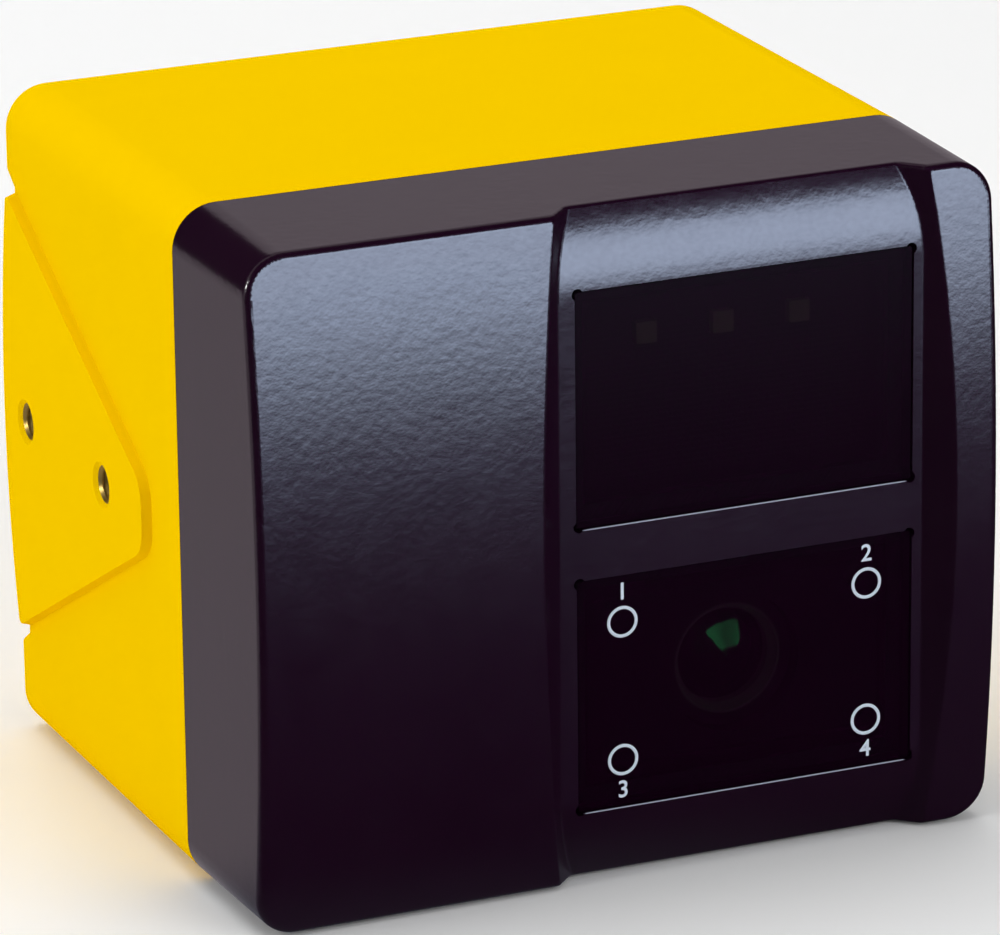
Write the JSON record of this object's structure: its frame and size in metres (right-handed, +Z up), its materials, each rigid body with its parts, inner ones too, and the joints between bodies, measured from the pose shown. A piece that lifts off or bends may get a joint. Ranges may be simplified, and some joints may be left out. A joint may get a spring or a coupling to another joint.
{
  "type": "time-of-flight safety camera",
  "caption": "Box-shaped time-of-flight safety camera: domed black front with dark windows, yellow cast housing, raised side mounting pads and round screw connectors at the rear.",
  "frame": {"origin": "centre of the bounding box's base, on the surface the camera stands on", "axes": "+X along the width, to the right as seen from the front; +Y rearwards; the windows look along -Y; +Z up"},
  "size_m": [0.082, 0.0774, 0.07],
  "materials": {
    "cover_paint": "fine textured black powder coat",
    "housing_paint": "fine textured yellow powder coat",
    "dark_window": "polished, almost black, passes infrared",
    "seal_rubber": "matt",
    "circuit_board": "solder mask",
    "light_chip": "clear encapsulation",
    "bare_aluminium": "milled",
    "dark_aluminium": "black anodised",
    "optical_glass": "coated",
    "light_guide_plastic": "clear polished plastic",
    "black_plastic": "moulded",
    "chip_plastic": "moulded",
    "heat_pad_rubber": "soft",
    "cable_film": "polyimide film",
    "screw_steel": "bright",
    "nickel_plate": "satin nickel",
    "pillar_brass": "turned",
    "gold_contact": "gold plated"
  },
  "bodies": {
    "root": {"front_cover": "cover_paint", "rear_housing": "housing_paint", "illumination_window": "dark_window", "lens_window": "dark_window", "joint_seal": "seal_rubber", "illumination_window_gasket": "seal_rubber", "lens_window_gasket": "seal_rubber", "connector_sealing_rings": "seal_rubber", "illumination_board": "circuit_board", "status_board": "circuit_board", "sensor_board": "circuit_board", "main_board": "circuit_board", "interface_board": "circuit_board", "infrared_emitters": "light_chip", "status_lights": "light_chip", "heat_spreader": "bare_aluminium", "heat_bridge": "bare_aluminium", "filter_capacitors": "bare_aluminium", "lens_barrel": "dark_aluminium", "lens_holder": "dark_aluminium", "lens_retaining_ring": "dark_aluminium", "lens_spacer": "dark_aluminium", "front_lens": "optical_glass", "middle_lens": "optical_glass", "rear_lens": "optical_glass", "bandpass_filter": "optical_glass", "light_guides": "light_guide_plastic", "lens_mask": "black_plastic", "power_insert": "black_plastic", "network_insert": "black_plastic", "pressure_vent": "black_plastic", "stacking_socket": "black_plastic", "stacking_header": "black_plastic", "sensor_plug": "black_plastic", "sensor_socket": "black_plastic", "illumination_plug": "black_plastic", "illumination_socket": "black_plastic", "safety_processors": "chip_plastic", "image_sensor": "chip_plastic", "power_coil": "chip_plastic", "heat_pads": "heat_pad_rubber", "flat_cable": "cable_film", "cover_screws": "screw_steel", "illumination_screws": "screw_steel", "sensor_screws": "screw_steel", "main_board_screws": "screw_steel", "power_connector": "nickel_plate", "network_connector": "nickel_plate", "power_connector_nut": "nickel_plate", "network_connector_nut": "nickel_plate", "upper_board_pillars": "pillar_brass", "lower_board_pillars": "pillar_brass", "sensor_sleeves": "pillar_brass", "power_pins": "gold_contact", "network_contacts": "gold_contact"}
  },
  "joints": []
}
